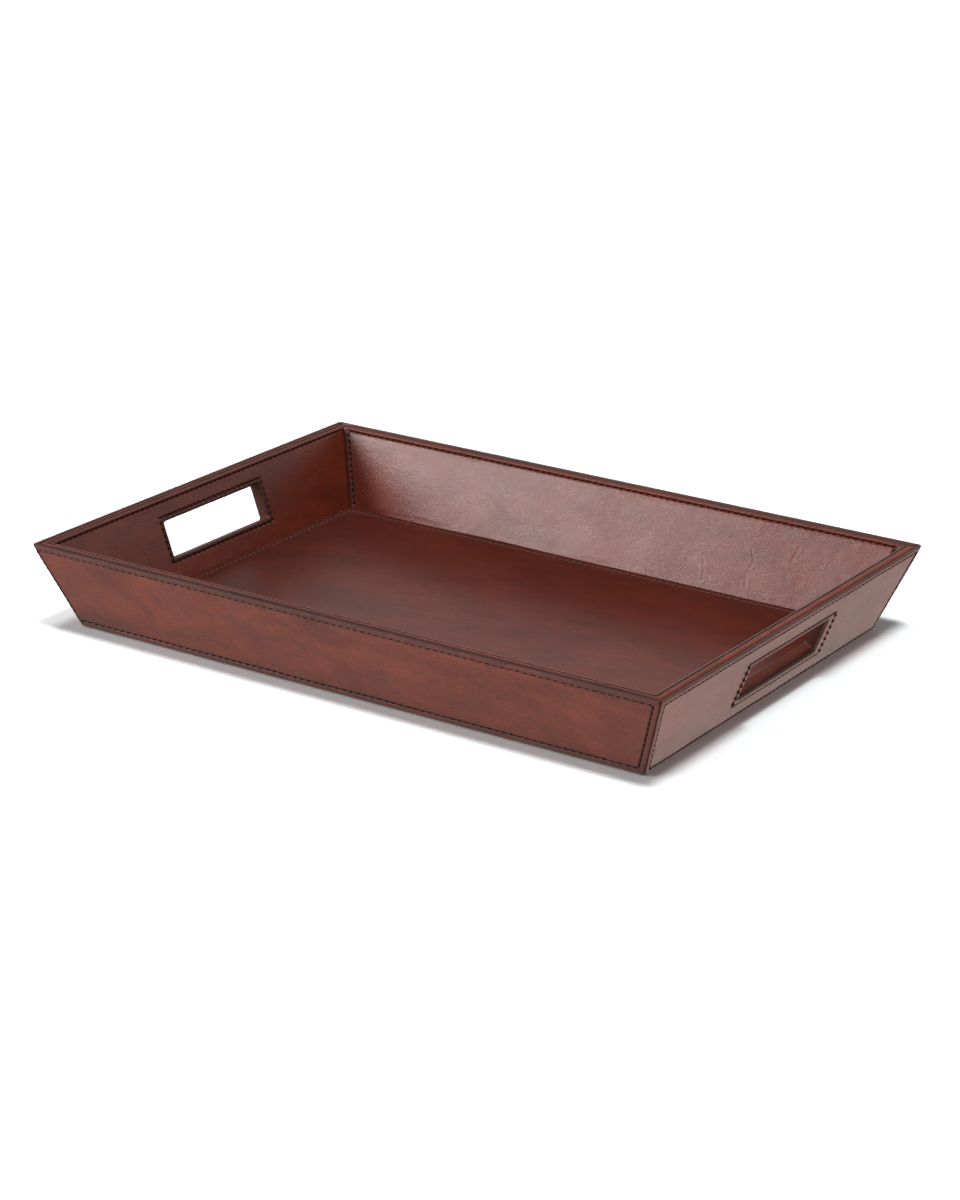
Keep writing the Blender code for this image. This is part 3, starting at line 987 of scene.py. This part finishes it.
def stitchGroup():
    group, tree, given = newGroup(
        "saddleStitches", ("Pitch", "Length Share", "Thickness", "Rise", "Tilt", "Wobble"),
        (("Way Out", "Vector"), ("Seed", "Int")))
    line = tree.shape("MeshToCurve", {"Mesh": given["Geometry"]})
    line = tree.shape("ResampleCurve", {"Curve": line, "Length": given["Pitch"]}, mode="LENGTH")
    edges = tree.shape("CurveToMesh", {"Curve": line})
    ends = tree.add("GeometryNodeInputMeshEdgeVertices").outputs
    along = tree.out("ShaderNodeVectorMath", {0: ends["Position 2"], 1: ends["Position 1"]},
                     operation="SUBTRACT")
    capture = tree.add("GeometryNodeCaptureAttribute", domain="EDGE")
    capture.capture_items.new("VECTOR", "Along")
    tree.feed(capture.inputs["Geometry"], edges)
    tree.feed(capture.inputs["Along"], along)
    along = capture.outputs["Along"]
    points = tree.shape("MeshToPoints", {"Mesh": capture.outputs["Geometry"]}, mode="EDGES")
    # one stitch, a unit long, that dives in at both ends
    unit = tree.shape("CurvePrimitiveLine", {"Start": (-0.5, 0.0, 0.0), "End": (0.5, 0.0, 0.0)})
    unit = tree.shape("ResampleCurve", {"Curve": unit, "Count": stitch["points"]}, mode="COUNT")
    x = tree.add("ShaderNodeSeparateXYZ", {0: tree.shape("InputPosition")}).outputs["X"]
    bow = tree.math("SUBTRACT", 1.0, tree.times(tree.times(x, x), 4.0))
    lift = tree.times(tree.math("SUBTRACT", bow, stitch["dive"]), given["Rise"])
    offset = tree.out("ShaderNodeCombineXYZ", {"Z": lift})
    unit = tree.shape("SetPosition", {"Geometry": unit, "Offset": offset})
    girth = tree.plus(stitch["endGirth"], tree.times(bow, 1.0 - stitch["endGirth"]))
    girth = tree.times(given["Thickness"], girth)
    ring = tree.shape("CurvePrimitiveCircle", {"Resolution": stitch["sides"], "Radius": 1.0})
    unit = tree.shape("CurveToMesh", {
        "Curve": unit, "Profile Curve": ring, "Scale": girth, "Fill Caps": True})
    # laid along its edge, with the leather's way out as its own +Z
    turned = tree.out("FunctionNodeAlignRotationToVector", {"Vector": given["Way Out"]}, axis="Z")
    turned = tree.out("FunctionNodeAlignRotationToVector", {"Rotation": turned, "Vector": along},
                      axis="X", pivot_axis="Z")
    chance = tree.add("FunctionNodeRandomValue", {2: -1.0, 3: 1.0, "Seed": given["Seed"]}, data_type="FLOAT")
    chance = chance.outputs[1]
    angle = tree.plus(given["Tilt"], tree.times(chance, given["Wobble"]))
    twist = tree.out("FunctionNodeAxisAngleToRotation", {"Axis": (0.0, 0.0, 1.0), "Angle": angle})
    turned = tree.out("FunctionNodeRotateRotation", {"Rotation": turned, "Rotate By": twist},
                      rotation_space="LOCAL")
    long = tree.add("ShaderNodeVectorMath", {0: along}, operation="LENGTH").outputs["Value"]
    long = tree.times(long, given["Length Share"])
    long = tree.times(long, tree.plus(1.0, tree.times(chance, stitch["uneven"])))
    scale = tree.out("ShaderNodeCombineXYZ", {"X": long, "Y": 1.0, "Z": 1.0})
    laid = tree.shape("InstanceOnPoints", {
        "Points": points, "Instance": unit, "Rotation": turned, "Scale": scale})
    endGroup(tree, laid, given["Material"])
    return group


saddleStitches = stitchGroup()
rowSteps = {"toStitch": 4, "smoothed": 9}


def rowLine(side, fieldAt, base, way):
    # a row's line, laid on the leather and smoothed over about two stitches
    steps = rowSteps["toStitch"] * stitchCount(side["start"], side["end"], side["pitch"])
    share = np.linspace(0.0, 1.0, steps + 1)
    x = side["start"][0] + (side["end"][0] - side["start"][0]) * share
    y = side["start"][1] + (side["end"][1] - side["start"][1]) * share
    height = fieldAt(x, y)[0]
    window = rowSteps["smoothed"]
    smooth = np.convolve(np.pad(height, window // 2, mode="edge"), np.ones(window) / window, mode="valid")
    level = way * (smooth - stitch["sink"] + press["pucker"] * 0.5) - base
    return np.column_stack((x, y, level))


def sewAlike(name, sides, leather, yarn, seed):
    fieldAt, base, way, place = leather
    points = []
    edges = []
    for side in sides:
        first = sum(len(each) for each in points)
        points.append(rowLine(side, fieldAt, base, way))
        edges += [(first + i, first + i + 1) for i in range(len(points[-1]) - 1)]
    line = bpy.data.meshes.new(name + "Line")
    line.from_pydata(placed(np.vstack(points), place).tolist(), edges, [])
    side = sides[0]
    return runGroup(name, line, saddleStitches, {
        "Pitch": side["pitch"],
        "Length Share": side["share"],
        "Thickness": stitch["thickness"] * side["weight"],
        "Rise": stitch["rise"] * side["weight"],
        "Tilt": math.radians(side["slant"]),
        "Wobble": stitch["wobble"],
        "Way Out": tuple(place.to_3x3() @ Vector((0.0, 0.0, way))),
        "Seed": seed,
        "Material": yarn,
    })


def joinMeshes(name, meshes):
    shape = bmesh.new()
    for mesh in meshes:
        shape.from_mesh(mesh)
    joined = bpy.data.meshes.new(name)
    shape.to_mesh(joined)
    shape.free()
    joined.shade_smooth()
    return joined


def sew(name, node, sides, leather, yarn, seed):
    # leather: its field, its face's depth, its way out and its place
    def kindOf(side):
        return side["pitch"], side["weight"], side["slant"], side["share"]

    meshes = []
    for kind in sorted({kindOf(side) for side in sides}):
        alike = [side for side in sides if kindOf(side) == kind]
        meshes.append(sewAlike(name, alike, leather, yarn, seed))
    addPiece(name, joinMeshes(name, meshes), yarn, [node])


def sewPanel(wall, face):
    seed = sorted(walls).index(wall) * 7 + (1 if face == "outer" else 2)
    leather = (fields[wall, face], faceDepth[face], wayOut[face], wallMatrix(wall))
    onlyRim = face == "inner" and wall in endWalls
    node = f"{wall}_inner_rim_thread" if onlyRim else f"{wall}_{face}_thread"
    yarn = wornThread if (wall, face) == ("left", "inner") else thread
    sew(wall + face.capitalize() + "Stitches", node, panelSides(wall, face), leather, yarn, seed)
    if wall in endWalls:
        sew(f"{wall}Hole{face.capitalize()}Stitches", f"{wall}_hole_{face}_thread",
            holeSides(wall, face), leather, yarn, seed + 3)


for wall in walls:
    for face in ("outer", "inner"):
        sewPanel(wall, face)
sew("floorStitches", "floor_thread", floorSides(), (floorField, -floorTop, 1.0, Matrix.Identity(4)),
    floorThread, 90)
print("stitches sewn")


# hole linings: a rounded loop swept with a section that curls at its edges
lining = {"thickness": 0.0012, "clear": 0.0001, "curl": 0.35}


def roundedBox(tree, width, height, radius, count):
    box = tree.shape("CurvePrimitiveQuadrilateral", {"Width": width, "Height": height})
    return tree.shape("FilletCurve", {"Curve": box, "Radius": radius, "Count": count}, mode="POLY")


def liningGroup():
    group, tree, given = newGroup("holeLining", ("Length", "Height", "Corner", "Lining", "Depth", "Curl"))
    wide = tree.plus(given["Length"], given["Lining"])
    tall = tree.plus(given["Height"], given["Lining"])
    radius = tree.plus(given["Corner"], tree.times(given["Lining"], 0.5))
    path = tree.shape("SetCurveNormal", {"Curve": roundedBox(tree, wide, tall, radius, 8)}, mode="Z_UP")
    curl = tree.times(given["Lining"], given["Curl"])
    section = roundedBox(tree, given["Lining"], given["Depth"], curl, 4)
    swept = tree.shape("CurveToMesh", {"Curve": path, "Profile Curve": section})
    endGroup(tree, swept, given["Material"])
    return group


holeLining = liningGroup()
for wall in endWalls:
    slot = openings["plain"]
    innermost = wallDepth - tray["innerLeather"]
    mesh = runGroup(wall + "HoleLining", bpy.data.meshes.new("seed"), holeLining, {
        "Length": 2 * slot["halfLength"],
        "Height": 2 * slot["halfHeight"],
        "Corner": slot["corner"],
        "Lining": lining["thickness"],
        "Depth": innermost - tray["outerLeather"] - 2 * lining["clear"],
        "Curl": lining["curl"],
        "Material": liningLeather,
    })
    middle = Vector((0.0, slot["middle"], -(tray["outerLeather"] + innermost) / 2))
    mesh.transform(wallMatrix(wall) @ Matrix.Translation(middle))
    for key in ("edge", "seam", "raw"):
        mesh.attributes.new(key, "FLOAT", "POINT")
    shadeMesh(mesh, 40.0)
    addPiece(wall + "HoleLining", mesh, liningLeather, [wall + "_hole_lining"])
print("hole linings made")


# carcass and underside keep their solids
for name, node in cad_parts.items():
    if name.endswith("board") or name == "underside_cover":
        node.data.materials.clear()
        node.data.materials.append(suede if name == "underside_cover" else stainedBoard)


# floor of the studio, light and camera
studio = dict(
    floorSize=14.0, floorColour=(0.8, 0.8, 0.8), floorSeen=(1.17, 1.25, 1.27), floorGlow=0.02,
    floorMirrored=0.78,
    horizon=0.75,
    zenith=0.1,
    skyRise=(0.1, 0.8), skyDepth=(-0.3, 0.6),
    fill=0.16,
    overheadAngle=math.radians(13.0),
    overheads=((2.15, (0.19, -0.12, 1.0)), (1.05, (-0.12, -0.12, 1.0))),
    lamps={
        "key": (28.0, 1.25, (-1.47, -2.1, 1.0)),
        "sheen": (46.5, 0.68, (-1.91, -2.1, 1.03)),
    },
    lampHeight=1.4,
    behind=1.3,
    before=0.55,
)


def makeStudio():
    half = studio["floorSize"] / 2
    mesh = bpy.data.meshes.new("studioFloor")
    mesh.from_pydata([(x, y, 0.0) for x, y in boxCorners(half, half)], [], [(0, 1, 2, 3)])
    floor = newObject("studioFloor", mesh)
    # leather mirrors the plain white floor, and the camera sees the tray's shadow on it
    material, tree, sockets = newMaterial("studioFloor", {
        "Emission Color": (1.0, 0.975, 0.93, 1.0), "Roughness": 1.0, "Specular IOR Level": 0.0})
    path = tree.add("ShaderNodeLightPath").outputs
    mirrored = path["Is Glossy Ray"]
    seen = tree.blend(path["Is Camera Ray"], studio["floorColour"], studio["floorSeen"])
    tree.feed(sockets["Base Color"], tree.blend(mirrored, seen, (0.0, 0.0, 0.0)))
    glow = tree.spread(mirrored, 0.0, 1.0, studio["floorGlow"], studio["floorMirrored"])
    tree.feed(sockets["Emission Strength"], glow)
    mesh.materials.append(material)
    world = bpy.data.worlds.new("studio")
    world.use_nodes = True
    world.node_tree.nodes.clear()
    tree = Tree(world.node_tree)
    path = tree.add("ShaderNodeLightPath").outputs
    # what leather mirrors of the sky fades from the horizon up, and is brighter behind the tray
    way = tree.add("ShaderNodeTexCoord").outputs["Generated"]
    way = tree.add("ShaderNodeSeparateXYZ", {0: way}).outputs
    rise = tree.spread(way["Z"], *studio["skyRise"], studio["horizon"], studio["zenith"])
    depth = tree.spread(way["Y"], *studio["skyDepth"], studio["before"], studio["behind"])
    mirrored = tree.times(tree.times(rise, depth), path["Is Glossy Ray"])
    fill = tree.spread(path["Is Glossy Ray"], 0.0, 1.0, studio["fill"], 0.0)
    strength = tree.math("MAXIMUM", tree.plus(mirrored, fill), path["Is Camera Ray"])
    background = tree.out("ShaderNodeBackground", {"Color": (1.0, 1.0, 1.0, 1.0), "Strength": strength})
    tree.add("ShaderNodeOutputWorld", {"Surface": background})
    bpy.context.scene.world = world


def addLight(name, lamp, place, aim=(0.0, 0.0, 0.03)):
    light = newObject(name, lamp)
    light.location = place
    light.rotation_euler = (Vector(aim) - Vector(place)).to_track_quat("-Z", "Y").to_euler()
    return light


makeStudio()
for strength, place in studio["overheads"]:
    overhead = bpy.data.lights.new("overhead", "SUN")
    overhead.energy = strength
    overhead.angle = studio["overheadAngle"]
    addLight("overhead", overhead, place, (0.0, 0.0, 0.0))
for name, (power, width, place) in studio["lamps"].items():
    lamp = bpy.data.lights.new(name + "Light", "AREA")
    lamp.shape = "RECTANGLE"
    lamp.size, lamp.size_y = width, studio["lampHeight"]
    lamp.energy = power
    light = addLight(name + "Light", lamp, place)
    light.visible_diffuse = name == "key"  # the other shows in the gloss alone

# camera: turned to the right of the front, above, with a slight roll
view = dict(
    yaw=math.radians(-32.85),
    pitch=math.radians(20.03),
    roll=math.radians(1.09),
    distance=2.0849,
    right=-0.00077,
    up=-0.01934,
    lens=93.28,
    sensor=36.0,
)


def makeCamera():
    yaw, pitch, roll = view["yaw"], view["pitch"], view["roll"]
    ahead = Vector((math.sin(yaw) * math.cos(pitch), math.cos(yaw) * math.cos(pitch), -math.sin(pitch)))
    right = Vector((math.cos(yaw), -math.sin(yaw), 0.0))
    up = right.cross(ahead)
    rolledRight = right * math.cos(roll) + up * math.sin(roll)
    rolledUp = up * math.cos(roll) - right * math.sin(roll)
    place = -(rolledRight * view["right"] + rolledUp * view["up"] + ahead * view["distance"])
    lens = bpy.data.cameras.new("camera")
    lens.lens = view["lens"]
    lens.sensor_fit = "VERTICAL"
    lens.sensor_height = view["sensor"]
    lens.clip_end = 40.0
    camera = newObject("camera", lens)
    turn = Matrix((rolledRight, rolledUp, -ahead)).transposed().to_4x4()
    camera.matrix_world = Matrix.Translation(place) @ turn
    bpy.context.scene.camera = camera


makeCamera()
bpy.context.scene.view_settings.view_transform = "Standard"
print("studio set")
